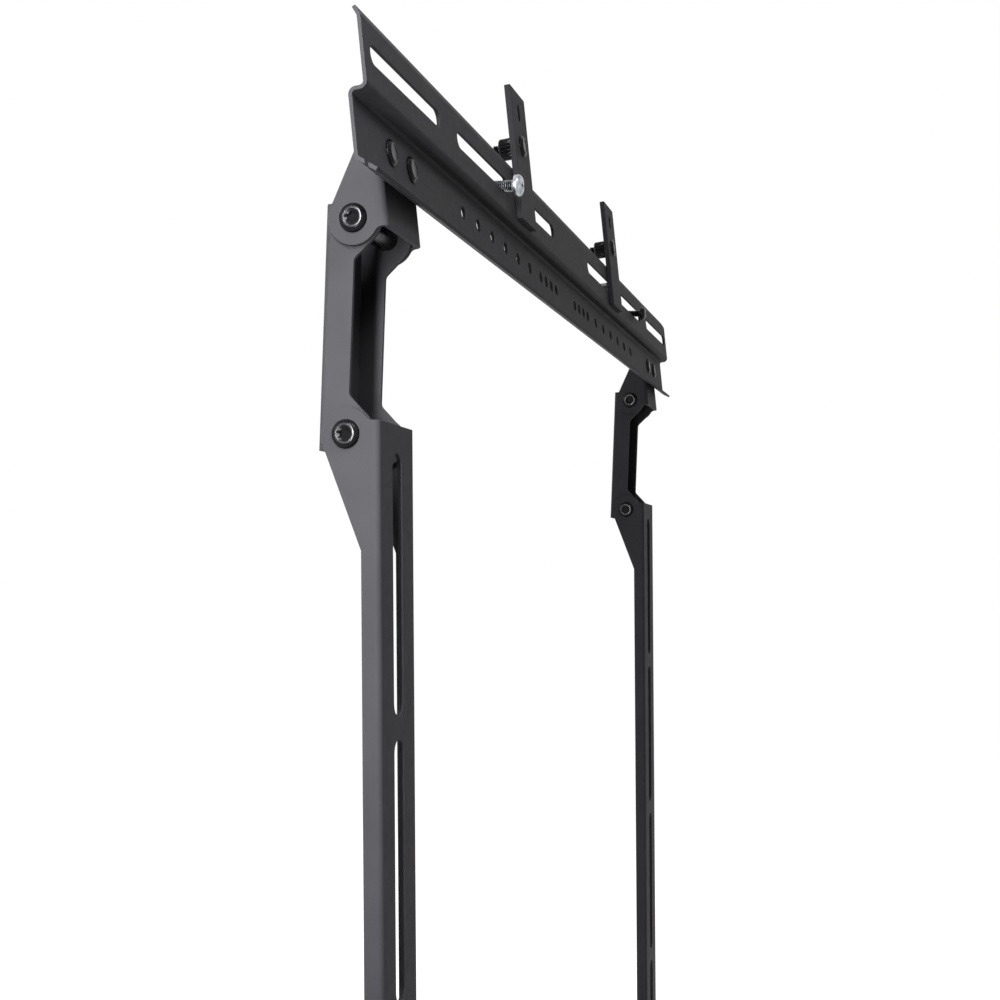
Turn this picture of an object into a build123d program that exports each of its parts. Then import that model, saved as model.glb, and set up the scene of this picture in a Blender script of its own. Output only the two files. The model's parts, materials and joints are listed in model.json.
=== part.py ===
from build123d import *
import os
from math import acos, atan2, cos, hypot, radians, sin, sqrt

# Sound bar bracket that bolts to the holes in the back of a television.
# Two slotted arms fix to the television. Two links stand on their top ends and carry two brackets,
# which are bolted to a long folded crossbar. Every pivot is a friction hinge along X.
# X runs along the crossbar, Y to the back and Z up. The origin is the middle of the row of holes
# in the crossbar's web, on the web's front face. All sizes are millimetres and degrees.

# Lean of the links and of everything above them, in the pose that is modelled
link_lean = 2.54
head_lean = 5.5

# Sheet thicknesses, the inside radius of every fold, and how far a blank stands past its outline
arm_sheet = 2.0
link_sheet = 2.0
bracket_sheet = 2.0
bar_sheet = 1.5
fold_radius = 0.5
bar_fold_radius = 1.5
blank_margin = 1.0

# Hinges
ear_radius = 11.0
lobe_radius = 11.2
pivot_diameter = 6.0
running_gap = 0.06
side_gap = 0.4
disc_thickness = 0.3
disc_diameter = 18.0
spacer_diameter = 10.0
flare_radius = 3.0

# Arms
arm_width = 43.4
arm_face = 14.2
arm_flange = 8.0
arm_shoulder = 5.3
arm_taper_length = 47.4
arm_slot_length = 109.5
arm_slot_width = 11.4
arm_slot_gap = 9.5
arm_slot_count = 4
arm_slot_start = 6.3
arm_slot_end = 9.2

# Links: length from pivot to pivot
link_length = 87.2
link_depth = 13.0
link_web_back = 13.15
link_web_overrun = 6.6
waist_radius = 3.0

# Brackets
bracket_face = 14.1
bracket_shoulder = 5.2
bracket_top_depth = 5.4
bracket_top_gap = 1.0

# Crossbar: the web lies on the brackets and the flange stands forward of it. It reaches past the
# middle of each bracket by the overhang, and its slots start and end at these distances from its ends
bar_length = 705.5
bar_overhang = 52.75
bar_rise = 13.6
web_height = 25.2
step_depth = 6.5
flange_height = 28.5
top_lip_length = 4.2
top_lip_lean = 25.0
low_lip_length = 7.45
low_lip_slope = 35.0
lip_notch_length = 4.0
lip_notch_depth = 3.7
flange_slot_width = 8.0
flange_slot_row = 16.2
flange_slots = ((7.5, 93.5), (119.5, 205.0), (221.5, 306.5))
hole_pitch = 25.0
hole_diameter = 6.6
hole_steps = (1.0, 1.5, 2.0, 2.5, 3.5, 4.5, 5.5, 6.5, 7.5, 8.5)
bar_bolt_spacing = 25.0

# Adapter plates: each place is measured from the nearer end of the crossbar
adapter_width = 30.0
adapter_thickness = 3.0
adapter_foot = 13.2
adapter_reach = 58.3
adapter_corner_radius = 1.0
left_adapter_from_end = 235.05
right_adapter_from_end = 226.75
adapter_bolt_height = 29.0
adapter_slot_height = 47.0
adapter_slot_width = 4.0
adapter_slot_length = 9.0

# Fasteners
hole_gap = 0.2
thread_gap = 0.05
seat_gap = 0.05
slide_gap = 0.1
pivot_head_diameter = 12.0
pivot_head_height = 2.4
pivot_head_chamfer = 0.6
thread_end_chamfer = 0.5
nut_chamfer_slope = 0.5
lock_nut_height = 6.0
lock_nut_collar = 1.2
hex_across_flats = 10.0
plain_nut_height = 5.0
bolt_end = 1.5
button_head_diameter = 10.5
button_head_height = 3.3
button_head_rounding = 2.5
socket_across_flats = 4.0
socket_depth = 1.8
bolt_diameter = 6.0
thumb_nut_diameter = 12.0
thumb_nut_length = 8.5
thumb_bolt_end = 4.0
knurl_count = 20
knurl_radius = 0.65
stud_flange_diameter = 8.5
stud_flange_height = 1.5
washer_diameter = 12.0
washer_thickness = 1.6

# Loose screws that lie in the flange slots: each place is measured from the nearer end of the crossbar
screw_tip_rise = 8.0
cross_recess_width = 1.1
cross_recess_depth = 2.0
cross_recess_taper = 10
zinc_screw_from_end = 200.75
zinc_head_diameter = 12.0
zinc_head_height = 3.8
zinc_head_rounding = 2.6
zinc_diameter = 6.0
zinc_length = 16.0
zinc_stand_off = 5.5
dark_screw_from_end = 143.45
dark_head_diameter = 9.0
dark_head_height = 3.2
dark_head_rounding = 2.2
dark_diameter = 5.0
dark_length = 16.0
dark_stand_off = 5.0

os.makedirs("parts", exist_ok=True)

# Places worked out from the sizes, in the head's own directions: back, up and along the bar
web_front = bracket_face + bar_sheet
flange_front = web_front + step_depth
flange_back = flange_front - bar_sheet
step_height = bar_rise + web_height
flange_top = step_height + flange_height
slot_row = step_height + flange_slot_row
bolt_row = bar_rise + web_height / 2
bracket_top = step_height - bar_fold_radius - bracket_top_gap
link_width = arm_width - 2 * arm_sheet - 2 * side_gap
bracket_width = link_width + 2 * side_gap + 2 * bracket_sheet
link_inside = link_width - 2 * link_sheet
pivot_bore = pivot_diameter + 2 * running_gap
hinge_place = bar_length / 2 - bar_overhang
sides = (("left", -hinge_place), ("right", hinge_place))
bar_bolts = {}
for side, middle in sides:
    first_bolt = (middle - bar_bolt_spacing / 2, bolt_row)
    second_bolt = (middle + bar_bolt_spacing / 2, bolt_row)
    bar_bolts[side] = (first_bolt, second_bolt)

head_back = Vector(0, cos(radians(head_lean)), -sin(radians(head_lean)))
head_up = Vector(0, sin(radians(head_lean)), cos(radians(head_lean)))
link_back = Vector(0, cos(radians(link_lean)), sin(radians(link_lean)))
link_up = Vector(0, -sin(radians(link_lean)), cos(radians(link_lean)))
upper_pivot = head_back * web_front - head_up * bolt_row
lower_pivot = upper_pivot - link_up * link_length

# Reach of the folded blanks around each pivot
ear_blank = ear_radius + blank_margin
lobe_blank = lobe_radius + blank_margin

# Planes: side views look along X, fronts face the television, crosses cut across a channel
head_side = Plane(origin=upper_pivot, x_dir=head_back, z_dir=(1, 0, 0))
head_front = Plane(origin=upper_pivot, x_dir=(1, 0, 0), z_dir=head_back * -1)
head_cross = Plane(origin=upper_pivot, x_dir=(1, 0, 0), z_dir=head_up)
link_side = Plane(origin=lower_pivot, x_dir=link_back, z_dir=(1, 0, 0))
link_cross = Plane(origin=lower_pivot, x_dir=(1, 0, 0), z_dir=link_up)
arm_side = Plane(origin=lower_pivot, x_dir=(0, 1, 0), z_dir=(1, 0, 0))
arm_front = Plane(origin=lower_pivot, x_dir=(1, 0, 0), z_dir=(0, -1, 0))
arm_cross = Plane(origin=lower_pivot, x_dir=(1, 0, 0), z_dir=(0, 0, 1))


def touch_point(radius, x, y, turn):
    """Point where a straight edge from (x, y) touches a round ear about the origin."""
    reach = hypot(x, y)
    angle = atan2(y, x) + turn * acos(radius / reach)
    return (radius * cos(angle), radius * sin(angle))


def circle_at(radius, height):
    """Half width of a round ear at a height above its pivot."""
    return sqrt(radius**2 - height**2)


def channel_section(plane, middle, width, web_face, plate_edge, sheet):
    """Section of a folded channel on a plane that cuts across it: a web and two side plates."""
    first = width / 2 if web_face > plate_edge else -width / 2
    with BuildSketch(plane) as section:
        with BuildLine():
            FilletPolyline(
                (middle + first, plate_edge),
                (middle + first, web_face),
                (middle - first, web_face),
                (middle - first, plate_edge),
                radius=fold_radius + sheet,
            )
            offset(amount=sheet, side=Side.LEFT)
        make_face()
    return section.sketch


# Arms: U channels whose web bolts to the television, with ears for the lower pivots
arm_slot_pitch = arm_slot_length + arm_slot_gap
arm_drop = arm_slot_start + arm_slot_count * arm_slot_pitch - arm_slot_gap + arm_slot_end
arm_edge = arm_flange - arm_face
arm_touch = touch_point(ear_radius, arm_edge, -arm_taper_length, 1)
for side, middle in sides:
    with BuildPart() as arm:
        bottom = arm_cross.offset(-arm_drop)
        section = channel_section(bottom, middle, arm_width, -arm_face, ear_blank, arm_sheet)
        extrude(section, amount=arm_drop + ear_blank)
        with BuildSketch(arm_side.offset(middle - arm_width / 2)) as plate:
            Circle(ear_radius)
            with BuildLine():
                Polyline(
                    (-arm_face, arm_shoulder),
                    (0, arm_shoulder),
                    arm_touch,
                    (arm_edge, -arm_taper_length),
                    (arm_edge, -arm_drop),
                    (-arm_face, -arm_drop),
                    close=True,
                )
            make_face()
            ear_root = (-circle_at(ear_radius, arm_shoulder), arm_shoulder, 0)
            fillet(plate.vertices().sort_by_distance(ear_root)[0], radius=flare_radius)
        extrude(amount=arm_width, mode=Mode.INTERSECT)
        with BuildSketch(arm_side.offset(middle)):
            Circle(pivot_bore / 2)
        extrude(amount=arm_width, both=True, mode=Mode.SUBTRACT)
        with BuildSketch(arm_front.offset(arm_face)):
            for slot in range(arm_slot_count):
                slot_middle = -arm_slot_start - arm_slot_length / 2 - slot * arm_slot_pitch
                with Locations((middle, slot_middle)):
                    SlotOverall(arm_slot_length, arm_slot_width, rotation=90)
        extrude(amount=-2 * arm_sheet, mode=Mode.SUBTRACT)
    arm.part.label = f"{side}_arm"
    export_step(arm.part, f"parts/{side}_arm.step")

# Links: shorter channels that open forward and stand inside the ears of arm and bracket
shoulder_reach = lobe_radius / sqrt(2)
link_waist = link_web_back - link_depth
waist_start = link_waist + lobe_radius * sqrt(2)
for side, middle in sides:
    with BuildPart() as link:
        bottom = link_cross.offset(-lobe_blank)
        section = channel_section(bottom, middle, link_width, link_web_back, -lobe_blank, link_sheet)
        extrude(section, amount=link_length + 2 * lobe_blank)
        with BuildSketch(link_side.offset(middle - link_width / 2)) as plate:
            with Locations((0, 0), (0, link_length)):
                Circle(lobe_radius)
            with BuildLine():
                Polyline(
                    (link_web_back, -link_web_overrun),
                    (0, -link_web_overrun),
                    (-shoulder_reach, shoulder_reach),
                    (link_waist, waist_start),
                    (link_waist, link_length - waist_start),
                    (-shoulder_reach, link_length - shoulder_reach),
                    (0, link_length + link_web_overrun),
                    (link_web_back, link_length + link_web_overrun),
                    close=True,
                )
            make_face()
            lobe_root = circle_at(lobe_radius, link_web_overrun)
            for height in (-link_web_overrun, link_length + link_web_overrun):
                fillet(plate.vertices().sort_by_distance((lobe_root, height, 0))[0], radius=flare_radius)
            for height in (waist_start, link_length - waist_start):
                fillet(plate.vertices().sort_by_distance((link_waist, height, 0))[0], radius=waist_radius)
        extrude(amount=link_width, mode=Mode.INTERSECT)
        with BuildSketch(link_side.offset(middle)):
            with Locations((0, 0), (0, link_length)):
                Circle(pivot_bore / 2)
        extrude(amount=link_width, both=True, mode=Mode.SUBTRACT)
    link.part.label = f"{side}_link"
    export_step(link.part, f"parts/{side}_link.step")

# Brackets: channels like the arms' top ends, turned over, with the crossbar on their webs
bracket_edge = bracket_top_depth - bracket_face
bracket_touch = touch_point(ear_radius, bracket_edge, bracket_top, -1)
for side, middle in sides:
    with BuildPart() as bracket:
        bottom = head_cross.offset(-ear_blank)
        section = channel_section(bottom, middle, bracket_width, -bracket_face, ear_blank, bracket_sheet)
        extrude(section, amount=bracket_top + ear_blank)
        with BuildSketch(head_side.offset(middle - bracket_width / 2)) as plate:
            Circle(ear_radius)
            with BuildLine():
                Polyline(
                    (-bracket_face, -bracket_shoulder),
                    (0, -bracket_shoulder),
                    bracket_touch,
                    (bracket_edge, bracket_top),
                    (-bracket_face, bracket_top),
                    close=True,
                )
            make_face()
            ear_root = (-circle_at(ear_radius, bracket_shoulder), -bracket_shoulder, 0)
            fillet(plate.vertices().sort_by_distance(ear_root)[0], radius=flare_radius)
        extrude(amount=bracket_width, mode=Mode.INTERSECT)
        with BuildSketch(head_side.offset(middle)):
            Circle(pivot_bore / 2)
        extrude(amount=bracket_width, both=True, mode=Mode.SUBTRACT)
        with BuildSketch(head_front.offset(bracket_face)):
            with Locations(*bar_bolts[side]):
                Circle(bolt_diameter / 2 + hole_gap)
        extrude(amount=-2 * bracket_sheet, mode=Mode.SUBTRACT)
    bracket.part.label = f"{side}_bracket"
    export_step(bracket.part, f"parts/{side}_bracket.step")

# Crossbar: one folded sheet with a top lip, a slotted flange, a step, a drilled web and a lower lip
lip_back = top_lip_length * sin(radians(top_lip_lean))
lip_up = top_lip_length * cos(radians(top_lip_lean))
lip_forward = low_lip_length * cos(radians(low_lip_slope))
lip_down = low_lip_length * sin(radians(low_lip_slope))
outside_fold = bar_fold_radius + bar_sheet
with BuildPart() as crossbar:
    with BuildSketch(head_side.offset(-bar_length / 2)):
        with BuildLine():
            FilletPolyline(
                (-flange_front + lip_back, flange_top + lip_up),
                (-flange_front, flange_top),
                (-flange_front, step_height),
                (-web_front, step_height),
                (-web_front, bar_rise),
                (-web_front - lip_forward, bar_rise - lip_down),
                radius=(outside_fold, outside_fold, bar_fold_radius, bar_fold_radius),
            )
            offset(amount=bar_sheet, side=Side.LEFT)
        make_face()
    extrude(amount=bar_length)
    with BuildSketch(head_front.offset(flange_front)):
        for start, end in flange_slots:
            from_middle = (bar_length - start - end) / 2
            with Locations((-from_middle, slot_row), (from_middle, slot_row)):
                SlotOverall(end - start, flange_slot_width)
    extrude(amount=-2 * bar_sheet, mode=Mode.SUBTRACT)
    with BuildSketch(head_front.offset(web_front)):
        for step in hole_steps:
            with Locations((-step * hole_pitch, bolt_row), (step * hole_pitch, bolt_row)):
                Circle(hole_diameter / 2)
        for side, middle in sides:
            with Locations(*bar_bolts[side]):
                Circle(bolt_diameter / 2 + hole_gap)
    extrude(amount=-2 * bar_sheet, mode=Mode.SUBTRACT)
    with BuildSketch(head_front.offset(web_front + lip_forward)):
        with Locations((-bar_length / 2, bar_rise - lip_down), (bar_length / 2, bar_rise - lip_down)):
            Rectangle(2 * lip_notch_length, 2 * low_lip_length)
    extrude(amount=-lip_notch_depth, mode=Mode.SUBTRACT)
crossbar.part.label = "crossbar"
export_step(crossbar.part, "parts/crossbar.step")

# Hinge hardware: bolt, lock nut, spacer tube and two friction discs at each of the four pivots
hinges = []
for side, middle in sides:
    hinges.append((f"{side}_lower", arm_side.offset(middle), arm_width))
    hinges.append((f"{side}_upper", head_side.offset(middle), bracket_width))
corner_radius = hex_across_flats / sqrt(3)
corner_trim = corner_radius - hex_across_flats / 2
socket_radius = socket_across_flats / sqrt(3)
for name, plane, width in hinges:
    near_face = plane.offset(-width / 2)
    far_face = plane.offset(width / 2)

    with BuildPart() as bolt:
        with BuildSketch(near_face):
            Circle(pivot_head_diameter / 2)
        extrude(amount=-pivot_head_height)
        rim = bolt.edges().filter_by(GeomType.CIRCLE).sort_by(Axis.X)[0]
        chamfer(rim, length=pivot_head_chamfer)
        with BuildSketch(near_face):
            Circle(pivot_diameter / 2)
        extrude(amount=width + lock_nut_height + lock_nut_collar + bolt_end)
        tip = bolt.edges().filter_by(GeomType.CIRCLE).sort_by(Axis.X)[-1]
        chamfer(tip, length=thread_end_chamfer)
        with BuildSketch(near_face.offset(-pivot_head_height)):
            RegularPolygon(radius=socket_radius, side_count=6)
        extrude(amount=socket_depth, mode=Mode.SUBTRACT)
    bolt.part.label = f"{name}_pivot_bolt"
    export_step(bolt.part, f"parts/{name}_pivot_bolt.step")

    with BuildPart() as nut:
        with BuildSketch(far_face):
            Circle(corner_radius)
        extrude(amount=lock_nut_height)
        corners = nut.edges().filter_by(GeomType.CIRCLE).sort_by(Axis.X)[-1]
        chamfer(corners, length=corner_trim * nut_chamfer_slope, length2=corner_trim)
        with BuildSketch(far_face):
            RegularPolygon(radius=corner_radius, side_count=6)
        extrude(amount=lock_nut_height, mode=Mode.INTERSECT)
        with BuildSketch(far_face.offset(lock_nut_height)):
            Circle(hex_across_flats / 2 - lock_nut_collar)
        extrude(amount=lock_nut_collar)
        with BuildSketch(far_face):
            Circle(pivot_diameter / 2 + thread_gap)
        extrude(amount=2 * lock_nut_height, mode=Mode.SUBTRACT)
    nut.part.label = f"{name}_pivot_nut"
    export_step(nut.part, f"parts/{name}_pivot_nut.step")

    with BuildPart() as spacer:
        with BuildSketch(plane):
            Circle(spacer_diameter / 2)
            Circle(pivot_bore / 2, mode=Mode.SUBTRACT)
        extrude(amount=link_inside / 2 - seat_gap, both=True)
    spacer.part.label = f"{name}_pivot_spacer"
    export_step(spacer.part, f"parts/{name}_pivot_spacer.step")

    with BuildPart() as discs:
        for start in (-link_width / 2 - seat_gap - disc_thickness, link_width / 2 + seat_gap):
            with BuildSketch(plane.offset(start)):
                Circle(disc_diameter / 2)
                Circle(pivot_bore / 2, mode=Mode.SUBTRACT)
            extrude(amount=disc_thickness)
    discs.part.label = f"{name}_friction_discs"
    export_step(discs.part, f"parts/{name}_friction_discs.step")

# Button-head bolts: two hold each bracket to the crossbar, and one stands in each adapter plate
left_adapter_place = left_adapter_from_end - bar_length / 2
right_adapter_place = bar_length / 2 - right_adapter_from_end
adapters = (("left", left_adapter_place), ("right", right_adapter_place))
adapter_back = flange_front + slide_gap
adapter_front = adapter_back + adapter_thickness
adapter_bolt_row = slot_row + adapter_bolt_height
bar_grip = bar_sheet + bracket_sheet + plain_nut_height + bolt_end
thumb_grip = adapter_thickness + slide_gap + thumb_nut_length + thumb_bolt_end
bolt_sets = []
for side, middle in sides:
    bolt_sets.append((f"{side}_bar_bolts", web_front, bar_bolts[side], bar_grip))
for side, middle in adapters:
    adapter_bolt_place = (middle, adapter_bolt_row)
    bolt_sets.append((f"{side}_adapter_bolt", adapter_front, (adapter_bolt_place,), thumb_grip))
for name, seat_distance, places, grip in bolt_sets:
    seat = head_front.offset(seat_distance)
    outward = Axis(seat.origin, seat.z_dir)
    with BuildPart() as bolts:
        with BuildSketch(seat):
            with Locations(*places):
                Circle(button_head_diameter / 2)
        extrude(amount=button_head_height)
        crown = bolts.edges().filter_by(GeomType.CIRCLE).group_by(outward)[-1]
        fillet(crown, radius=button_head_rounding)
        with BuildSketch(seat):
            with Locations(*places):
                Circle(bolt_diameter / 2)
        extrude(amount=-grip)
        tip = bolts.edges().filter_by(GeomType.CIRCLE).group_by(outward)[0]
        chamfer(tip, length=thread_end_chamfer)
        with BuildSketch(seat.offset(button_head_height)):
            with Locations(*places):
                RegularPolygon(radius=socket_radius, side_count=6)
        extrude(amount=-socket_depth, mode=Mode.SUBTRACT)
    bolts.part.label = name
    export_step(bolts.part, f"parts/{name}.step")

# Adapter plates on the flange, each with a bolt hole, an upright slot and a pocket for its stud
for side, middle in adapters:
    with BuildPart() as adapter:
        with BuildSketch(head_front.offset(adapter_back)):
            with Locations((middle, slot_row + (adapter_reach - adapter_foot) / 2)):
                RectangleRounded(adapter_width, adapter_reach + adapter_foot, adapter_corner_radius)
            with Locations((middle, adapter_bolt_row)):
                Circle(bolt_diameter / 2 + hole_gap, mode=Mode.SUBTRACT)
            with Locations((middle, slot_row + adapter_slot_height)):
                SlotOverall(adapter_slot_length, adapter_slot_width, rotation=90, mode=Mode.SUBTRACT)
        extrude(amount=adapter_thickness)
        with BuildSketch(head_front.offset(adapter_back)):
            with Locations((middle, slot_row)):
                Circle(stud_flange_diameter / 2 + seat_gap)
        extrude(amount=stud_flange_height, mode=Mode.SUBTRACT)
    adapter.part.label = f"{side}_adapter"
    export_step(adapter.part, f"parts/{side}_adapter.step")

    stud_grip = bar_sheet + 2 * slide_gap + washer_thickness + plain_nut_height + bolt_end
    with BuildPart() as stud:
        with BuildSketch(head_front.offset(adapter_back)):
            with Locations((middle, slot_row)):
                Circle(stud_flange_diameter / 2)
        extrude(amount=stud_flange_height)
        with BuildSketch(head_front.offset(adapter_back)):
            with Locations((middle, slot_row)):
                Circle(bolt_diameter / 2)
        extrude(amount=-stud_grip)
    stud.part.label = f"{side}_fixing_stud"
    export_step(stud.part, f"parts/{side}_fixing_stud.step")

    with BuildPart() as washer:
        with BuildSketch(head_front.offset(flange_back - slide_gap)):
            with Locations((middle, slot_row)):
                Circle(washer_diameter / 2)
                Circle(bolt_diameter / 2 + hole_gap, mode=Mode.SUBTRACT)
        extrude(amount=-washer_thickness)
    washer.part.label = f"{side}_fixing_washer"
    export_step(washer.part, f"parts/{side}_fixing_washer.step")

    with BuildPart() as thumb_nut:
        with BuildSketch(head_front.offset(adapter_back - slide_gap)):
            with Locations((middle, adapter_bolt_row)):
                Circle(thumb_nut_diameter / 2)
                Circle(bolt_diameter / 2 + running_gap, mode=Mode.SUBTRACT)
                with PolarLocations(thumb_nut_diameter / 2, knurl_count):
                    Circle(knurl_radius, mode=Mode.SUBTRACT)
        extrude(amount=-thumb_nut_length)
    thumb_nut.part.label = f"{side}_thumb_nut"
    export_step(thumb_nut.part, f"parts/{side}_thumb_nut.step")

# Plain nuts: behind each bracket's web and behind the washer of each adapter
behind_web = bracket_face - bracket_sheet
behind_washer = flange_back - slide_gap - washer_thickness
nut_sets = []
for side, middle in sides:
    nut_sets.append((f"{side}_bar_nuts", behind_web, bar_bolts[side]))
for side, middle in adapters:
    nut_sets.append((f"{side}_fixing_nut", behind_washer, ((middle, slot_row),)))
for name, seat_distance, places in nut_sets:
    seat = head_front.offset(seat_distance)
    backward = Axis(seat.origin, seat.z_dir * -1)
    with BuildPart() as nuts:
        with BuildSketch(seat):
            with Locations(*places):
                Circle(corner_radius)
        extrude(amount=-plain_nut_height)
        corners = nuts.edges().filter_by(GeomType.CIRCLE).group_by(backward)[-1]
        chamfer(corners, length=corner_trim * nut_chamfer_slope, length2=corner_trim)
        with BuildSketch(seat):
            with Locations(*places):
                RegularPolygon(radius=corner_radius, side_count=6)
        extrude(amount=-plain_nut_height, mode=Mode.INTERSECT)
        with BuildSketch(seat):
            with Locations(*places):
                Circle(bolt_diameter / 2 + thread_gap)
        extrude(amount=-plain_nut_height, mode=Mode.SUBTRACT)
    nuts.part.label = name
    export_step(nuts.part, f"parts/{name}.step")

# Two loose pan-head screws that lie in the flange slots, heads forward and tips a little up
zinc_screw_place = zinc_screw_from_end - bar_length / 2
dark_screw_place = bar_length / 2 - dark_screw_from_end
zinc_head = (zinc_head_diameter, zinc_head_height, zinc_head_rounding)
dark_head = (dark_head_diameter, dark_head_height, dark_head_rounding)
loose_screws = (
    ("zinc_screw", zinc_screw_place, zinc_head, zinc_diameter, zinc_length, zinc_stand_off),
    ("dark_screw", dark_screw_place, dark_head, dark_diameter, dark_length, dark_stand_off),
)
screw_lean = radians(screw_tip_rise)
screw_forward = head_back * -cos(screw_lean) - head_up * sin(screw_lean)
slot_floor = slot_row - flange_slot_width / 2
for name, middle, head_sizes, diameter, length, stand_off in loose_screws:
    head_diameter, head_height, head_rounding = head_sizes
    axis_height = slot_floor + seat_gap + diameter / 2 / cos(screw_lean)
    crossing = upper_pivot + Vector(middle, 0, 0) - head_back * flange_front + head_up * axis_height
    seat = Plane(origin=crossing, x_dir=(1, 0, 0), z_dir=screw_forward).offset(stand_off)
    outward = Axis(seat.origin, seat.z_dir)
    with BuildPart() as screw:
        with BuildSketch(seat):
            Circle(head_diameter / 2)
        extrude(amount=head_height)
        crown = screw.edges().filter_by(GeomType.CIRCLE).group_by(outward)[-1]
        fillet(crown, radius=head_rounding)
        with BuildSketch(seat):
            Circle(diameter / 2)
        extrude(amount=-length)
        tip = screw.edges().filter_by(GeomType.CIRCLE).group_by(outward)[0]
        chamfer(tip, length=thread_end_chamfer)
        with BuildSketch(seat.offset(head_height)):
            Rectangle(diameter, cross_recess_width)
            Rectangle(cross_recess_width, diameter)
        extrude(amount=-cross_recess_depth, taper=cross_recess_taper, mode=Mode.SUBTRACT)
    screw.part.label = name
    export_step(screw.part, f"parts/{name}.step")
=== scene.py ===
import bpy
import json
from math import atan2, cos, hypot, pi, radians, sin, sqrt
from mathutils import Matrix, Vector


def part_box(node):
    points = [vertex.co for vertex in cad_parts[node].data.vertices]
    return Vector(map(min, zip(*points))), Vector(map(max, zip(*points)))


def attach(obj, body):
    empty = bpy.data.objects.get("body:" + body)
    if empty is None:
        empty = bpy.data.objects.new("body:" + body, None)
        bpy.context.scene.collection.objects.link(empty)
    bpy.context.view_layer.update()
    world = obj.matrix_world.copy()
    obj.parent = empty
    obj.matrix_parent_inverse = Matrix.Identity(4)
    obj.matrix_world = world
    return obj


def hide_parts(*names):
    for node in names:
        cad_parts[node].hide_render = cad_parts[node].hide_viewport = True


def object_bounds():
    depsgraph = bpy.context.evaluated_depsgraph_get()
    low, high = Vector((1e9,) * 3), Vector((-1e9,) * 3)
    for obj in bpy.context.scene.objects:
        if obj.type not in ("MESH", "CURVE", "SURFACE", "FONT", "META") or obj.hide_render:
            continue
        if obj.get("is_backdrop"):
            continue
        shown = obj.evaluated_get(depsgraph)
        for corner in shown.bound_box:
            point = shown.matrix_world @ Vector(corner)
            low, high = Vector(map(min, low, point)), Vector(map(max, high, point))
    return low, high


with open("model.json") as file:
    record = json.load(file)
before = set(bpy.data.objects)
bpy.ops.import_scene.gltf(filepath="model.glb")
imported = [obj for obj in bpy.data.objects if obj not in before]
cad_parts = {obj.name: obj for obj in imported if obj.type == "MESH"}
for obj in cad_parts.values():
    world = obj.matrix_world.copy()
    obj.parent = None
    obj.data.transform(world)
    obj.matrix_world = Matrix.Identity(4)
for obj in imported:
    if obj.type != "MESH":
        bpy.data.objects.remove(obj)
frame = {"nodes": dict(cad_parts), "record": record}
cad_low, cad_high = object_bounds()
bpy.ops.object.select_all(action="DESELECT")
record = frame["record"]

# Sizes and places of the bracket, in millimetres, as in the part's source
MM = 0.001
HEAD_LEAN = radians(5.5)
SCREW_TIP_RISE = radians(8.0)

HEAD_BACK = Vector((0, cos(HEAD_LEAN), -sin(HEAD_LEAN)))
HEAD_UP = Vector((0, sin(HEAD_LEAN), cos(HEAD_LEAN)))
ALONG = Vector((1, 0, 0))
HINGE_PLACES = {"left": -300.0, "right": 300.0}
ADAPTER_PLACES = {"left": -117.7, "right": 126.0}
CHANNEL_WIDTH = 43.4
BAR_SHEET = 1.5
BRACKET_SHEET = 2.0
SLIDE_GAP = 0.1
BOLT_ROW_HALF = 12.5
FLANGE_FORWARD = 6.5
SLOT_ROW_UP = 28.8
ADAPTER_BOLT_UP = 57.8
ADAPTER_THICKNESS = 3.0
ADAPTER_BACK = FLANGE_FORWARD + SLIDE_GAP
ADAPTER_FRONT = ADAPTER_BACK + ADAPTER_THICKNESS


def head_place(along, forward, up):
    """Place in metres from millimetres along the crossbar, ahead of its web and above its holes."""
    return (ALONG * along - HEAD_BACK * forward + HEAD_UP * up) * MM


# Darkest and lightest colours of the finishes
COAT_DARK = (0.050, 0.049, 0.054)
COAT_LIGHT = (0.058, 0.057, 0.062)
BOLT_DARK = (0.003, 0.003, 0.0035)
BOLT_LIGHT = (0.007, 0.007, 0.0075)
ZINC_DARK = (0.16, 0.17, 0.19)
ZINC_LIGHT = (0.58, 0.60, 0.63)
# Zinc plating darkened to near black: painted shade
SHADED_ZINC_DARK = (0.014, 0.014, 0.015)
SHADED_ZINC_LIGHT = (0.036, 0.036, 0.038)
# Painted highlight on the rims of the pivot bolts' sockets
RIM_HIGHLIGHT_DARK = (0.03, 0.03, 0.032)
RIM_HIGHLIGHT_LIGHT = (0.09, 0.09, 0.094)
DISC_DARK = (0.035, 0.034, 0.033)
DISC_LIGHT = (0.07, 0.068, 0.066)


# Helpers for materials
BUMP_DEPTH = 0.1 * MM


def new_material(name):
    """Empty node material with a Principled shader, and its tree's nodes and links."""
    material = bpy.data.materials.new(name)
    material.use_nodes = True
    tree = material.node_tree
    shader = tree.nodes["Principled BSDF"]
    return material, tree.nodes, tree.links, shader


def object_noise(nodes, links, scale, detail=3.0, rough=0.5, stretch=(1, 1, 1)):
    """Noise on Object coordinates, at so many cells a metre."""
    place = nodes.new("ShaderNodeTexCoord")
    mapping = nodes.new("ShaderNodeMapping")
    mapping.inputs["Scale"].default_value = stretch
    noise = nodes.new("ShaderNodeTexNoise")
    noise.inputs["Scale"].default_value = scale
    noise.inputs["Detail"].default_value = detail
    noise.inputs["Roughness"].default_value = rough
    links.new(place.outputs["Object"], mapping.inputs["Vector"])
    links.new(mapping.outputs["Vector"], noise.inputs["Vector"])
    return noise.outputs["Fac"]


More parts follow.
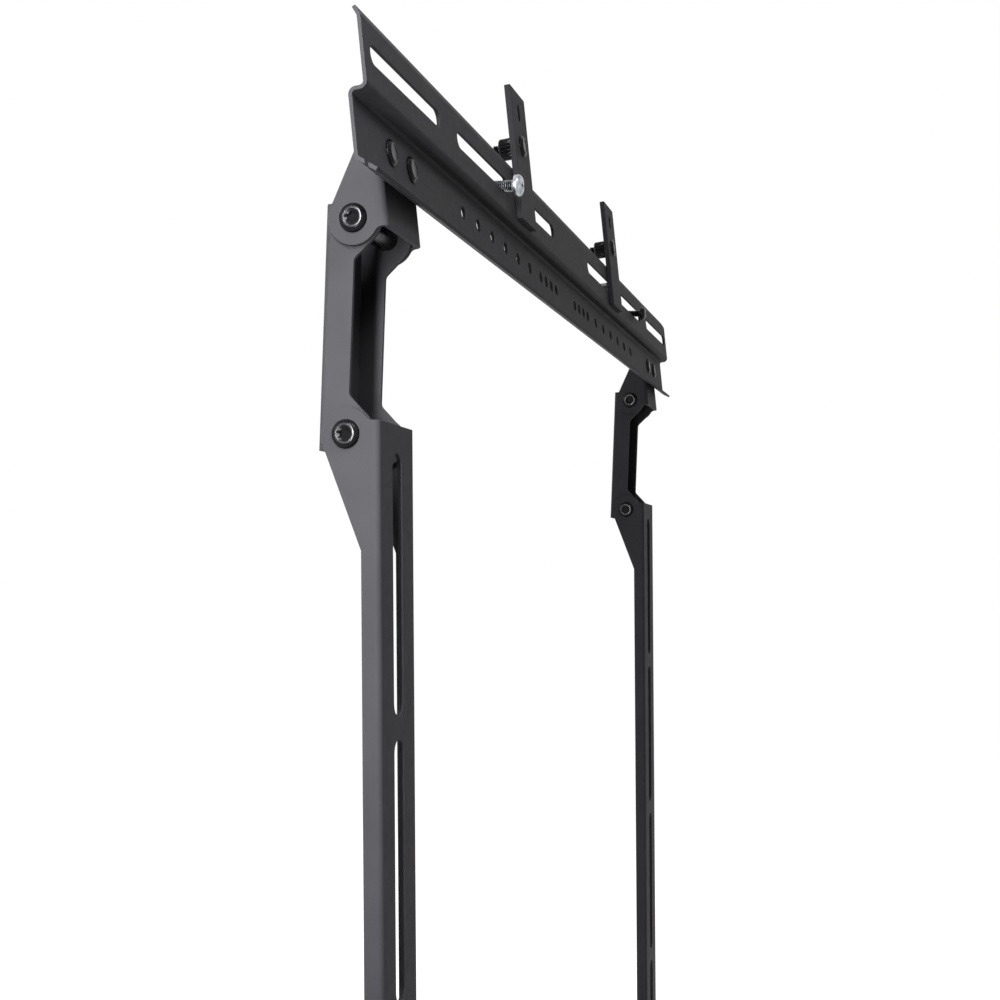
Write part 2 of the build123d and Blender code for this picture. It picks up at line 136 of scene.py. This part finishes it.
def ramp(nodes, links, factor, stops):
    """Colour ramp with stops of (position, colour or grey)."""
    node = nodes.new("ShaderNodeValToRGB")
    node.color_ramp.elements[0].position = stops[0][0]
    node.color_ramp.elements[1].position = stops[-1][0]
    for position, _ in stops[1:-1]:
        node.color_ramp.elements.new(position)
    for element, (_, colour) in zip(node.color_ramp.elements, stops):
        if isinstance(colour, tuple):
            element.color = (*colour, 1)
        else:
            element.color = (colour, colour, colour, 1)
    links.new(factor, node.inputs["Fac"])
    return node.outputs["Color"]


def roughen(nodes, links, shader, pattern, strength):
    """Raises and sinks a finish by a fine pattern."""
    bump = nodes.new("ShaderNodeBump")
    bump.inputs["Strength"].default_value = strength
    bump.inputs["Distance"].default_value = BUMP_DEPTH
    links.new(pattern, bump.inputs["Height"])
    links.new(bump.outputs["Normal"], shader.inputs["Normal"])


def powder_coat(name):
    """Satin black powder coat: fine orange peel, a soft mottle and faint rub marks."""
    material, nodes, links, shader = new_material(name)
    mottle = object_noise(nodes, links, 45, detail=6)
    colour = ramp(nodes, links, mottle, ((0.3, COAT_DARK), (0.7, COAT_LIGHT)))
    links.new(colour, shader.inputs["Base Color"])
    rub = object_noise(nodes, links, 260, detail=4, rough=0.6)
    rough = ramp(nodes, links, rub, ((0.3, 0.54), (0.7, 0.62)))
    links.new(rough, shader.inputs["Roughness"])
    peel = object_noise(nodes, links, 1500, detail=3, rough=0.55)
    roughen(nodes, links, shader, peel, 0.22)
    shader.inputs["Specular IOR Level"].default_value = 0.045
    return material


def dark_steel(name):
    """Black oxide on fasteners: near black and smooth, with an oily sheen and a fine grain."""
    material, nodes, links, shader = new_material(name)
    mottle = object_noise(nodes, links, 420, detail=5)
    colour = ramp(nodes, links, mottle, ((0.3, BOLT_DARK), (0.72, BOLT_LIGHT)))
    links.new(colour, shader.inputs["Base Color"])
    rub = object_noise(nodes, links, 900, detail=3)
    rough = ramp(nodes, links, rub, ((0.3, 0.16), (0.7, 0.28)))
    links.new(rough, shader.inputs["Roughness"])
    grain = object_noise(nodes, links, 2600, detail=2)
    roughen(nodes, links, shader, grain, 0.12)
    shader.inputs["Specular IOR Level"].default_value = 0.1
    return material


def metal(name, dark, light):
    """Metal, bright or dull as its colours are, with a cloudy surface; it also makes the painted shade
    and the painted highlight.
    """
    material, nodes, links, shader = new_material(name)
    cloud = object_noise(nodes, links, 380, detail=5)
    colour = ramp(nodes, links, cloud, ((0.3, dark), (0.7, light)))
    links.new(colour, shader.inputs["Base Color"])
    rub = object_noise(nodes, links, 1200, detail=3)
    rough = ramp(nodes, links, rub, ((0.3, 0.20), (0.7, 0.36)))
    links.new(rough, shader.inputs["Roughness"])
    grain = object_noise(nodes, links, 2400, detail=2, stretch=(1, 1, 3))
    roughen(nodes, links, shader, grain, 0.1)
    shader.inputs["Metallic"].default_value = 0.95
    return material


def fibre_disc(name):
    """Dark friction discs of pressed fibre."""
    material, nodes, links, shader = new_material(name)
    fibres = object_noise(nodes, links, 900, detail=6, rough=0.7)
    colour = ramp(nodes, links, fibres, ((0.3, DISC_DARK), (0.7, DISC_LIGHT)))
    links.new(colour, shader.inputs["Base Color"])
    roughen(nodes, links, shader, fibres, 0.35)
    shader.inputs["Roughness"].default_value = 0.8
    return material


finishes = {
    "black_powder_coat": powder_coat("black_powder_coat"),
    "black_bolt": dark_steel("black_bolt"),
    # The zinc plating slot gets the darkened copy as painted shade; bright_zinc is its lit copy
    "zinc_plate": metal("zinc_plate", SHADED_ZINC_DARK, SHADED_ZINC_LIGHT),
    "friction_disc": fibre_disc("friction_disc"),
}
bright_zinc = metal("bright_zinc", ZINC_DARK, ZINC_LIGHT)
# Painted highlight for the pivot bolts' socket rims
painted_rim_highlight = metal("painted_rim_highlight", RIM_HIGHLIGHT_DARK, RIM_HIGHLIGHT_LIGHT)
slot_of_node = {row["node"]: row["material_slot"] for row in record["subparts"]}
body_of_node = {}
for body, members in record["behaviour"]["bodies"].items():
    for node in members:
        body_of_node[node] = body


# Every CAD node gets the finish of its slot
for node, piece in frame["nodes"].items():
    piece.data.materials.clear()
    piece.data.materials.append(finishes[slot_of_node[node]])


# Folded sheets and plates: a copy of each, its cut edges rounded as a thick coat rounds them
COAT_EDGE_RADIUS = 0.28 * MM
SAME_POINT = 1e-6
SAME_PLANE = radians(0.5)
CUT_EDGE = radians(50)
SMOOTH_SHEET_BELOW = radians(35)
sheets = ["crossbar"]
for side in ("left", "right"):
    for sheet in ("arm", "link", "bracket", "adapter"):
        sheets.append(f"{side}_{sheet}")


def activate(piece):
    """Makes a piece the only one selected, and the active one."""
    bpy.ops.object.select_all(action="DESELECT")
    piece.select_set(True)
    bpy.context.view_layer.objects.active = piece


def coated_copy(node):
    """Copy of a sheet whose flat faces are whole again and whose cut edges are rounded."""
    piece = frame["nodes"][node].copy()
    piece.data = piece.data.copy()
    piece.name = f"{node}_coated"
    piece.parent = None
    for key in list(piece.keys()):
        del piece[key]
    bpy.context.scene.collection.objects.link(piece)
    activate(piece)
    bpy.ops.object.mode_set(mode="EDIT")
    bpy.ops.mesh.select_all(action="SELECT")
    bpy.ops.mesh.remove_doubles(threshold=SAME_POINT)
    bpy.ops.mesh.dissolve_limited(angle_limit=SAME_PLANE)
    bpy.ops.object.mode_set(mode="OBJECT")
    bevel = piece.modifiers.new("rounded edges", "BEVEL")
    bevel.width = COAT_EDGE_RADIUS
    bevel.segments = 2
    bevel.limit_method = "ANGLE"
    bevel.angle_limit = CUT_EDGE
    bpy.ops.object.modifier_apply(modifier=bevel.name)
    bpy.ops.object.shade_smooth_by_angle(angle=SMOOTH_SHEET_BELOW)
    weighted = piece.modifiers.new("flat faces stay flat", "WEIGHTED_NORMAL")
    weighted.keep_sharp = True
    bpy.ops.object.modifier_apply(modifier=weighted.name)
    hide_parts(node)
    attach(piece, body_of_node[node])


for node in sheets:
    coated_copy(node)


# Fasteners, in millimetres: each is turned upright with its seat at 0, then set down for its node
BOLT_RADIUS = 3.0
BOLT_END = 1.5
TIP_CHAMFER = 0.5
EDGE_BREAK = 0.1
THREAD_PITCH = 1.0
THREAD_DEPTH = 0.55
THREAD_STEPS = 6
RING_TOLERANCE = 0.01
BORE_TOOL_LENGTH = 50.0
SMOOTH_BELOW = radians(38)


def rounded(height, radius, fillet, steps=7):
    """Stations of a turned crown: a wall that curves over to a flat top."""
    stations = []
    for step in range(steps + 1):
        turn = pi / 2 * step / steps
        stations.append((height - fillet + fillet * sin(turn), radius - fillet + fillet * cos(turn)))
    return stations


def domed_head(height, radius, fillet, steps=7):
    """Stations of a head with a broken edge at its seat and a rounded crown."""
    return [(0, radius - EDGE_BREAK), (EDGE_BREAK, radius)] + rounded(height, radius, fillet, steps)


def flat_disc(height, radius, edge):
    """Stations of a flat disc with both of its edges broken."""
    return [(0, radius - edge), (edge, radius), (height - edge, radius), (height, radius - edge)]


def shank(length, radius, threaded):
    """Stations of a shank from its chamfered tip up to its seat, close together along its thread."""
    stations = [(-length, radius - TIP_CHAMFER), (-length + TIP_CHAMFER, radius)]
    count = round((threaded - TIP_CHAMFER) / THREAD_PITCH * THREAD_STEPS)
    for step in range(1, count + 1):
        stations.append((-length + TIP_CHAMFER + step * THREAD_PITCH / THREAD_STEPS, radius))
    stations.append((0, radius))
    return stations


def turned(name, stations, sides=48):
    """Solid turned about Z through stations of height and radius, drawn out ring by ring."""
    height, radius = stations[0]
    bpy.ops.object.select_all(action="DESELECT")
    bpy.ops.mesh.primitive_circle_add(vertices=sides, radius=radius * MM, fill_type="NGON")
    piece = bpy.context.active_object
    piece.name = name
    bpy.ops.object.mode_set(mode="EDIT")
    bpy.ops.mesh.select_all(action="SELECT")
    bpy.ops.transform.translate(value=(0, 0, height * MM))
    for next_height, next_radius in stations[1:]:
        rise = (0, 0, (next_height - height) * MM)
        bpy.ops.mesh.extrude_region_move(TRANSFORM_OT_translate={"value": rise})
        scale = next_radius / radius
        bpy.ops.transform.resize(value=(scale, scale, 1), center_override=(0, 0, next_height * MM))
        height, radius = next_height, next_radius
    bpy.ops.mesh.select_all(action="SELECT")
    bpy.ops.mesh.normals_make_consistent(inside=False)
    bpy.ops.object.mode_set(mode="OBJECT")
    return piece


def combine(piece, tool, operation):
    """Cuts, joins or trims a piece with a tool, which is used up."""
    activate(piece)
    step = piece.modifiers.new("tool", "BOOLEAN")
    step.operation = operation
    step.solver = "EXACT"
    step.object = tool
    bpy.ops.object.modifier_apply(modifier=step.name)
    bpy.data.objects.remove(tool)


def cut_thread(piece, length, radius, threaded):
    """Helical thread: moves the close rings of a shank inwards along a turning line."""
    low = TIP_CHAMFER - length
    high = threaded - length
    for vertex in piece.data.vertices:
        x, y, z = vertex.co / MM
        if low < z < high and abs(hypot(x, y) - radius) < RING_TOLERANCE:
            turn = (z / THREAD_PITCH - atan2(y, x) / (2 * pi)) % 1.0
            fade = min(1.0, (z - low) / THREAD_PITCH, (high - z) / THREAD_PITCH)
            sink = 1 - THREAD_DEPTH * fade * (1 - abs(2 * turn - 1)) / radius
            vertex.co.x *= sink
            vertex.co.y *= sink


def bolt_with(name, length, radius, threaded, head):
    """Bolt or screw with its shank below the seat, threaded from the tip, and a turned head above."""
    bolt = turned(name, shank(length, radius, threaded) + head)
    cut_thread(bolt, length, radius, threaded)
    return bolt


def bored(piece, radius):
    """Bore through a turned piece, open at both ends."""
    sizes = {"radius": radius * MM, "depth": BORE_TOOL_LENGTH * MM}
    bpy.ops.mesh.primitive_cylinder_add(vertices=48, **sizes)
    combine(piece, bpy.context.active_object, "DIFFERENCE")
    return piece


def set_down(piece, seat, outward):
    """Moves a piece's mesh to its seat, with its height along an outward direction."""
    turn = Vector(outward).to_track_quat("Z", "Y").to_matrix().to_4x4()
    piece.data.transform(Matrix.Translation(seat) @ turn)
    piece.data.update()
    return piece


def copied(piece):
    """Copy of a piece with a mesh of its own."""
    twin = piece.copy()
    twin.data = piece.data.copy()
    bpy.context.scene.collection.objects.link(twin)
    return twin


def stands_for(node, pieces, finish=None):
    """Joins pieces, gives them a finish and the node's body and lets them stand for it."""
    activate(pieces[0])
    for piece in pieces[1:]:
        piece.select_set(True)
    if len(pieces) > 1:
        bpy.ops.object.join()
    whole = bpy.context.active_object
    whole.name = f"{node}_detailed"
    whole.data.materials.clear()
    whole.data.materials.append(finish or finishes[slot_of_node[node]])
    bpy.ops.object.shade_smooth_by_angle(angle=SMOOTH_BELOW)
    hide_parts(node)
    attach(whole, body_of_node[node])
    return whole


def touch_up(piece, faces, finish):
    """Gives some faces of a piece a second finish, used here for a painted highlight and for painted
    shade.
    """
    piece.data.materials.append(finish)
    for index in faces:
        piece.data.polygons[index].material_index = 1


# Hexagonal nuts
NUT_FLATS = 10.0
NUT_CORNER = NUT_FLATS / sqrt(3)
NUT_BORE_RADIUS = 3.02
NUT_FACE_SHARE = 0.97
NUT_CHAMFER_SLOPE = 0.45
COLLAR_RADIUS = NUT_FLATS / 2 - 1.0
COLLAR_FILLET = 0.7
COLLAR_SUNK = 0.5


def hexagon(name, height, collar=0.0):
    """Hexagonal nut with chamfered corners, and a round collar over its locking ring."""
    middle = (0, 0, height / 2 * MM)
    sizes = {"radius": NUT_CORNER * MM, "depth": height * MM}
    bpy.ops.object.select_all(action="DESELECT")
    bpy.ops.mesh.primitive_cylinder_add(vertices=6, location=middle, **sizes)
    nut = bpy.context.active_object
    nut.name = name
    bpy.ops.object.transform_apply(location=True)
    face = NUT_FLATS / 2 * NUT_FACE_SHARE
    drop = (NUT_CORNER - face) * NUT_CHAMFER_SLOPE
    low_drop = drop / 2
    low_face = NUT_CORNER - low_drop / NUT_CHAMFER_SLOPE
    trim = [(0, low_face), (low_drop, NUT_CORNER), (height - drop, NUT_CORNER), (height, face)]
    combine(nut, turned("trim", trim, sides=72), "INTERSECT")
    if collar:
        ring = [(height - COLLAR_SUNK, COLLAR_RADIUS)]
        ring += rounded(height + collar, COLLAR_RADIUS, COLLAR_FILLET, steps=5)
        combine(nut, turned("ring", ring), "UNION")
    return bored(nut, NUT_BORE_RADIUS)


# Pivot bolts: a low domed head with a countersunk socket, on the channels' left side
PIVOT_THREAD = 10.0
PIVOT_HEAD_RADIUS = 6.0
PIVOT_HEAD_HEIGHT = 2.4
PIVOT_HEAD_FILLET = 2.3
SOCKET_FLATS = 4.0
SOCKET_DEPTH = 1.8
SOCKET_MOUTH = 6.75
SOCKET_TURN = radians(11)
COUNTERSINK_SLOPE = 0.55
CONE_TIP_SHARE = 0.9
TOOL_PAST = 0.4
MERGE_WITHIN = 2e-6
RIM_WITHIN = 0.05
RIM_LEVEL = 0.98
LOCK_NUT_HEIGHT = 6.0
LOCK_NUT_COLLAR = 1.2


def cut_socket(piece, top):
    """Hexagonal socket with a countersunk mouth, cut by tools that stand a little past the head."""
    corner = SOCKET_FLATS / sqrt(3)
    middle = (0, 0, (top + (TOOL_PAST - SOCKET_DEPTH) / 2) * MM)
    turn = (0, 0, SOCKET_TURN)
    sizes = {"radius": corner * MM, "depth": (SOCKET_DEPTH + TOOL_PAST) * MM}
    bpy.ops.mesh.primitive_cylinder_add(vertices=6, location=middle, rotation=turn, **sizes)
    combine(piece, bpy.context.active_object, "DIFFERENCE")
    small = corner * CONE_TIP_SHARE
    sunk = (SOCKET_MOUTH / 2 - small) * COUNTERSINK_SLOPE
    large = SOCKET_MOUTH / 2 + TOOL_PAST / COUNTERSINK_SLOPE
    middle = (0, 0, (top + (TOOL_PAST - sunk) / 2) * MM)
    sizes = {"radius1": small * MM, "radius2": large * MM, "depth": (sunk + TOOL_PAST) * MM}
    bpy.ops.mesh.primitive_cone_add(vertices=48, location=middle, **sizes)
    combine(piece, bpy.context.active_object, "DIFFERENCE")
    bpy.ops.object.mode_set(mode="EDIT")
    bpy.ops.mesh.select_all(action="SELECT")
    bpy.ops.mesh.remove_doubles(threshold=MERGE_WITHIN)
    bpy.ops.mesh.dissolve_degenerate(threshold=MERGE_WITHIN)
    bpy.ops.object.mode_set(mode="OBJECT")


pivot_length = CHANNEL_WIDTH + (LOCK_NUT_HEIGHT + LOCK_NUT_COLLAR + BOLT_END)
pivot_head = domed_head(PIVOT_HEAD_HEIGHT, PIVOT_HEAD_RADIUS, PIVOT_HEAD_FILLET)
pivot_bolt = bolt_with("pivot_bolt", pivot_length, BOLT_RADIUS, PIVOT_THREAD, pivot_head)
cut_socket(pivot_bolt, PIVOT_HEAD_HEIGHT)
# The flat rim round each socket's mouth gets a painted highlight
socket_rim = []
for face in pivot_bolt.data.polygons:
    if face.center.z > (PIVOT_HEAD_HEIGHT - RIM_WITHIN) * MM and face.normal.z > RIM_LEVEL:
        socket_rim.append(face.index)
pivot_nut = hexagon("pivot_nut", LOCK_NUT_HEIGHT, collar=LOCK_NUT_COLLAR)
for side, place in HINGE_PLACES.items():
    for level in ("lower", "upper"):
        name = f"{side}_{level}_pivot"
        low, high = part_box(f"{name}_bolt")
        middle_y, middle_z = (low[1] + high[1]) / 2, (low[2] + high[2]) / 2
        near = ((place - CHANNEL_WIDTH / 2) * MM, middle_y, middle_z)
        far = ((place + CHANNEL_WIDTH / 2) * MM, middle_y, middle_z)
        bolt = stands_for(f"{name}_bolt", [set_down(copied(pivot_bolt), near, -ALONG)])
        # Painted highlight on the socket rim
        touch_up(bolt, socket_rim, painted_rim_highlight)
        stands_for(f"{name}_nut", [set_down(copied(pivot_nut), far, ALONG)])
bpy.data.objects.remove(pivot_bolt)
bpy.data.objects.remove(pivot_nut)

# Low flat heads with a bevelled rim and a shallow dish, on the bar and on the adapter plates
LOW_HEAD_RADIUS = 5.6
LOW_HEAD_HEIGHT = 1.7
low_head_wall = [(0, LOW_HEAD_RADIUS - EDGE_BREAK), (EDGE_BREAK, LOW_HEAD_RADIUS), (0.5, LOW_HEAD_RADIUS)]
low_head_bevel = [(0.62, 5.55), (1.5, 4.3), (1.62, 4.15), (LOW_HEAD_HEIGHT, 3.95)]
low_head_dish = [(LOW_HEAD_HEIGHT, 3.75), (1.66, 3.62), (1.45, 3.45), (1.42, 3.3)]
low_head = low_head_wall + low_head_bevel + low_head_dish


def low_bolt(length, threaded):
    """Bolt with a low flat head."""
    return bolt_with("low_bolt", length, BOLT_RADIUS, threaded, low_head)


# Bolts and nuts that hold the brackets to the bar
PLAIN_NUT_HEIGHT = 5.0
BAR_BOLT_THREAD = 7.0
bar_bolt_grip = BAR_SHEET + BRACKET_SHEET
plain_nut = hexagon("plain_nut", PLAIN_NUT_HEIGHT)
bar_bolt = low_bolt(bar_bolt_grip + PLAIN_NUT_HEIGHT + BOLT_END, BAR_BOLT_THREAD)
for side, place in HINGE_PLACES.items():
    bolts, nuts = [], []
    for step in (-BOLT_ROW_HALF, BOLT_ROW_HALF):
        bolts.append(set_down(copied(bar_bolt), head_place(place + step, 0, 0), -HEAD_BACK))
        nut_seat = head_place(place + step, -bar_bolt_grip, 0)
        nuts.append(set_down(copied(plain_nut), nut_seat, HEAD_BACK))
    stands_for(f"{side}_bar_bolts", bolts)
    stands_for(f"{side}_bar_nuts", nuts)
bpy.data.objects.remove(bar_bolt)

# Adapter plates' bolts, thumb nuts, studs, washers and nuts
ADAPTER_BOLT_LENGTH = 15.6
ADAPTER_BOLT_THREAD = 12.0
THUMB_RADIUS = 5.7
THUMB_LENGTH = 9.0
THUMB_BORE_RADIUS = 3.06
THUMB_EDGE_HEIGHT = 0.8
THUMB_EDGE_DEPTH = 0.9
THUMB_EDGE_MIDDLE = 0.35
KNURLS = 17
KNURL_DEPTH = 0.75
KNURL_SHARPNESS = 1.5
SIDES_PER_KNURL = 8
STUD_THREAD = 8.0
STUD_HEAD_RADIUS = 4.25
STUD_HEAD_HEIGHT = 1.5
WASHER_RADIUS = 6.0
WASHER_THICKNESS = 1.6
WASHER_EDGE = 0.2
WASHER_BORE_RADIUS = 3.2
washer_forward = FLANGE_FORWARD - BAR_SHEET - SLIDE_GAP
nut_forward = washer_forward - WASHER_THICKNESS
stud_length = ADAPTER_BACK - nut_forward + PLAIN_NUT_HEIGHT + BOLT_END

thumb_edge = [(0, THUMB_RADIUS - THUMB_EDGE_DEPTH)]
thumb_edge += [(THUMB_EDGE_MIDDLE, THUMB_RADIUS - THUMB_EDGE_MIDDLE), (THUMB_EDGE_HEIGHT, THUMB_RADIUS)]
thumb_far_edge = [(THUMB_LENGTH - height, radius) for height, radius in reversed(thumb_edge)]
thumb_nut = turned("thumb_nut", thumb_edge + thumb_far_edge, sides=KNURLS * SIDES_PER_KNURL)
for vertex in thumb_nut.data.vertices:
    wave = 0.5 - 0.5 * cos(KNURLS * atan2(vertex.co.y, vertex.co.x))
    sink = 1 - KNURL_DEPTH * wave ** KNURL_SHARPNESS / THUMB_RADIUS
    vertex.co.x *= sink
    vertex.co.y *= sink
bored(thumb_nut, THUMB_BORE_RADIUS)
adapter_bolt = low_bolt(ADAPTER_BOLT_LENGTH, ADAPTER_BOLT_THREAD)
stud_head = flat_disc(STUD_HEAD_HEIGHT, STUD_HEAD_RADIUS, EDGE_BREAK)
fixing_stud = bolt_with("fixing_stud", stud_length, BOLT_RADIUS, STUD_THREAD, stud_head)
washer = turned("washer", flat_disc(WASHER_THICKNESS, WASHER_RADIUS, WASHER_EDGE))
bored(washer, WASHER_BORE_RADIUS)
for side, place in ADAPTER_PLACES.items():
    bolt_seat = head_place(place, ADAPTER_FRONT, ADAPTER_BOLT_UP)
    thumb_seat = head_place(place, FLANGE_FORWARD, ADAPTER_BOLT_UP)
    stud_seat = head_place(place, ADAPTER_BACK, SLOT_ROW_UP)
    washer_seat = head_place(place, washer_forward, SLOT_ROW_UP)
    nut_seat = head_place(place, nut_forward, SLOT_ROW_UP)
    stands_for(f"{side}_adapter_bolt", [set_down(copied(adapter_bolt), bolt_seat, -HEAD_BACK)])
    stands_for(f"{side}_thumb_nut", [set_down(copied(thumb_nut), thumb_seat, HEAD_BACK)])
    stands_for(f"{side}_fixing_stud", [set_down(copied(fixing_stud), stud_seat, -HEAD_BACK)])
    stands_for(f"{side}_fixing_washer", [set_down(copied(washer), washer_seat, HEAD_BACK)])
    stands_for(f"{side}_fixing_nut", [set_down(copied(plain_nut), nut_seat, HEAD_BACK)])
for pattern in (thumb_nut, adapter_bolt, fixing_stud, washer, plain_nut):
    bpy.data.objects.remove(pattern)

# Loose pan-head screws that lie in the flange's slots, tips a little up
SCREW_LENGTH = 16.0
SCREW_THREAD = 15.5
RECESS_SHARE = 0.52
RECESS_WIDTH = 1.1
RECESS_DEPTH = 1.9
RECESS_TAPER = 0.45
# Bounds of the painted shade in the screws' recesses and thread roots
SHADE_BELOW_CROWN = 0.05
SHADE_RECESS_DEPTH = 2.0
SHADE_ROOT_DEPTH = 0.27
SHADE_PAST_TIP = 1.0
screw_forward = -HEAD_BACK * cos(SCREW_TIP_RISE) - HEAD_UP * sin(SCREW_TIP_RISE)


def cut_cross(piece, top, reach):
    """Cross recess whose arms narrow to the bottom."""
    for turn in (0, pi / 2):
        bpy.ops.mesh.primitive_cube_add(size=1, location=(0, 0, top * MM))
        arm = bpy.context.active_object
        arm.scale = (2 * reach * MM, RECESS_WIDTH * MM, 2 * RECESS_DEPTH * MM)
        arm.rotation_euler.z = turn
        bpy.ops.object.transform_apply(location=True, rotation=True, scale=True)
        for vertex in arm.data.vertices:
            if vertex.co.z < top * MM:
                vertex.co.x *= RECESS_TAPER
                vertex.co.y *= RECESS_TAPER
        combine(piece, arm, "DIFFERENCE")


def painted_shade_faces(screw, radius, head_radius, head_height):
    """Faces inside a screw's recess and in the roots of its thread, which are darkened as painted shade.
    """
    recess_low, recess_high = head_height - SHADE_RECESS_DEPTH, head_height - SHADE_BELOW_CROWN
    thread_low, thread_high = SHADE_PAST_TIP - SCREW_LENGTH, SCREW_THREAD - SCREW_LENGTH
    found = []
    for face in screw.data.polygons:
        out = hypot(face.center.x, face.center.y) / MM
        rise = face.center.z / MM
        in_recess = out < head_radius * RECESS_SHARE and recess_low < rise < recess_high
        in_thread = thread_low < rise < thread_high and out < radius - SHADE_ROOT_DEPTH
        if in_recess or in_thread:
            found.append(face.index)
    return found


def loose_screw(node, along, up, stand_off, radius, head_radius, head_height, fillet, finish=None):
    """Loose screw; when it has a finish of its own, its recess and thread roots keep its slot's darker
    finish as painted shade.
    """
    head = domed_head(head_height, head_radius, fillet, steps=9)
    screw = bolt_with(node, SCREW_LENGTH, radius, SCREW_THREAD, head)
    cut_cross(screw, head_height, head_radius * RECESS_SHARE)
    painted_shade = painted_shade_faces(screw, radius, head_radius, head_height)
    seat = head_place(along, FLANGE_FORWARD, up) + screw_forward * stand_off * MM
    screw = stands_for(node, [set_down(screw, seat, screw_forward)], finish)
    # Painted shade: the recess and thread roots get the slot's darker finish
    if finish:
        touch_up(screw, painted_shade, finishes[slot_of_node[node]])


loose_screw(
    "zinc_screw", along=-152.0, up=27.879, stand_off=5.5,
    radius=3.0, head_radius=5.7, head_height=3.8, fillet=2.7, finish=bright_zinc,
)
loose_screw(
    "dark_screw", along=209.3, up=27.375, stand_off=5.0,
    radius=2.5, head_radius=4.5, head_height=3.2, fillet=2.2,
)


# Studio: a plain pale floor below the arms, a white surround and three softboxes
WHITE = (1, 1, 1)
FLOOR_SIZE = 60
FLOOR_DROP = 0.02
FLOOR_COLOUR = (0.75, 0.75, 0.75)
FLOOR_LIFT = 0.985
AMBIENT = 0.04


def seen_directly(nodes, links):
    """1 for camera, glossy and transmission rays, and 0 for the rays that light the object."""
    path = nodes.new("ShaderNodeLightPath")
    either = nodes.new("ShaderNodeMath")
    either.operation = "MAXIMUM"
    links.new(path.outputs["Is Camera Ray"], either.inputs[0])
    links.new(path.outputs["Is Glossy Ray"], either.inputs[1])
    any_of = nodes.new("ShaderNodeMath")
    any_of.operation = "MAXIMUM"
    links.new(either.outputs[0], any_of.inputs[0])
    links.new(path.outputs["Is Transmission Ray"], any_of.inputs[1])
    return any_of.outputs[0]


bpy.ops.mesh.primitive_plane_add(size=FLOOR_SIZE, location=(0, 0, cad_low[2] - FLOOR_DROP))
floor = bpy.context.active_object
floor.name = "floor"
floor_material, floor_nodes, floor_links, floor_shader = new_material("pale_floor")
floor_shader.inputs["Base Color"].default_value = (*FLOOR_COLOUR, 1)
floor_shader.inputs["Roughness"].default_value = 0.9
floor_shader.inputs["Specular IOR Level"].default_value = 0
floor_shader.inputs["Emission Color"].default_value = (*WHITE, 1)
lift = floor_nodes.new("ShaderNodeMath")
lift.operation = "MULTIPLY"
lift.inputs[1].default_value = FLOOR_LIFT
floor_links.new(seen_directly(floor_nodes, floor_links), lift.inputs[0])
floor_links.new(lift.outputs[0], floor_shader.inputs["Emission Strength"])
floor.data.materials.append(floor_material)
floor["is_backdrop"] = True

world = bpy.data.worlds.new("surround")
bpy.context.scene.world = world
world.use_nodes = True
world_nodes = world.node_tree.nodes
world_links = world.node_tree.links
background = world_nodes["Background"]
level = world_nodes.new("ShaderNodeMapRange")
level.inputs["To Min"].default_value = AMBIENT
level.inputs["To Max"].default_value = 1.0
world_links.new(seen_directly(world_nodes, world_links), level.inputs["Value"])
background.inputs["Color"].default_value = (*WHITE, 1)
world_links.new(level.outputs["Result"], background.inputs["Strength"])


def softbox(name, location, target, size, power, spread=180.0):
    """Area lamp that faces a point and throws its light within an angle."""
    lamp = bpy.data.lights.new(name, "AREA")
    lamp.shape = "RECTANGLE"
    lamp.size, lamp.size_y = size
    lamp.energy = power
    lamp.spread = radians(spread)
    box = bpy.data.objects.new(name, lamp)
    box.visible_camera = False
    bpy.context.scene.collection.objects.link(box)
    box.location = location
    box.rotation_euler = (Vector(target) - Vector(location)).to_track_quat("-Z", "Y").to_euler()


softbox(
    "side_softbox", location=(-0.62, 0, -0.06), target=(-0.32, 0, -0.13),
    size=(0.04, 0.5), power=1.6, spread=115,
)
softbox(
    "top_softbox", location=(-0.75, -0.5, 0.7), target=(-0.4, 0, -0.3),
    size=(0.3, 0.3), power=0.85, spread=60,
)
softbox(
    "back_softbox", location=(0.7, 1.4, 0.5), target=(0, 0, -0.2),
    size=(1.2, 1.2), power=14,
)


# Camera at the photograph's viewing angle, worked out for a frame of 1000 by 1000
CAMERA_PLACE = (-0.8774, -0.2040, -0.1785)
CAMERA_YAW = radians(15.733)
CAMERA_ROLL = radians(-0.402)
FOCAL_PIXELS = 1471.1
HORIZON_ROW = 590.6
FRAME_PIXELS = 1000
SENSOR = 36.0
view = bpy.data.cameras.new("camera")
view.sensor_width = SENSOR
view.lens = FOCAL_PIXELS / FRAME_PIXELS * SENSOR
view.shift_y = (HORIZON_ROW - FRAME_PIXELS / 2) / FRAME_PIXELS
view.clip_start = 0.01
camera = bpy.data.objects.new("camera", view)
bpy.context.scene.collection.objects.link(camera)
bpy.context.scene.camera = camera
upright = Matrix.Rotation(CAMERA_YAW - pi / 2, 4, "Z") @ Matrix.Rotation(pi / 2, 4, "X")
camera.matrix_world = Matrix.Translation(CAMERA_PLACE) @ upright @ Matrix.Rotation(CAMERA_ROLL, 4, "Z")
bpy.context.scene.view_settings.view_transform = "Standard"

low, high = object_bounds()
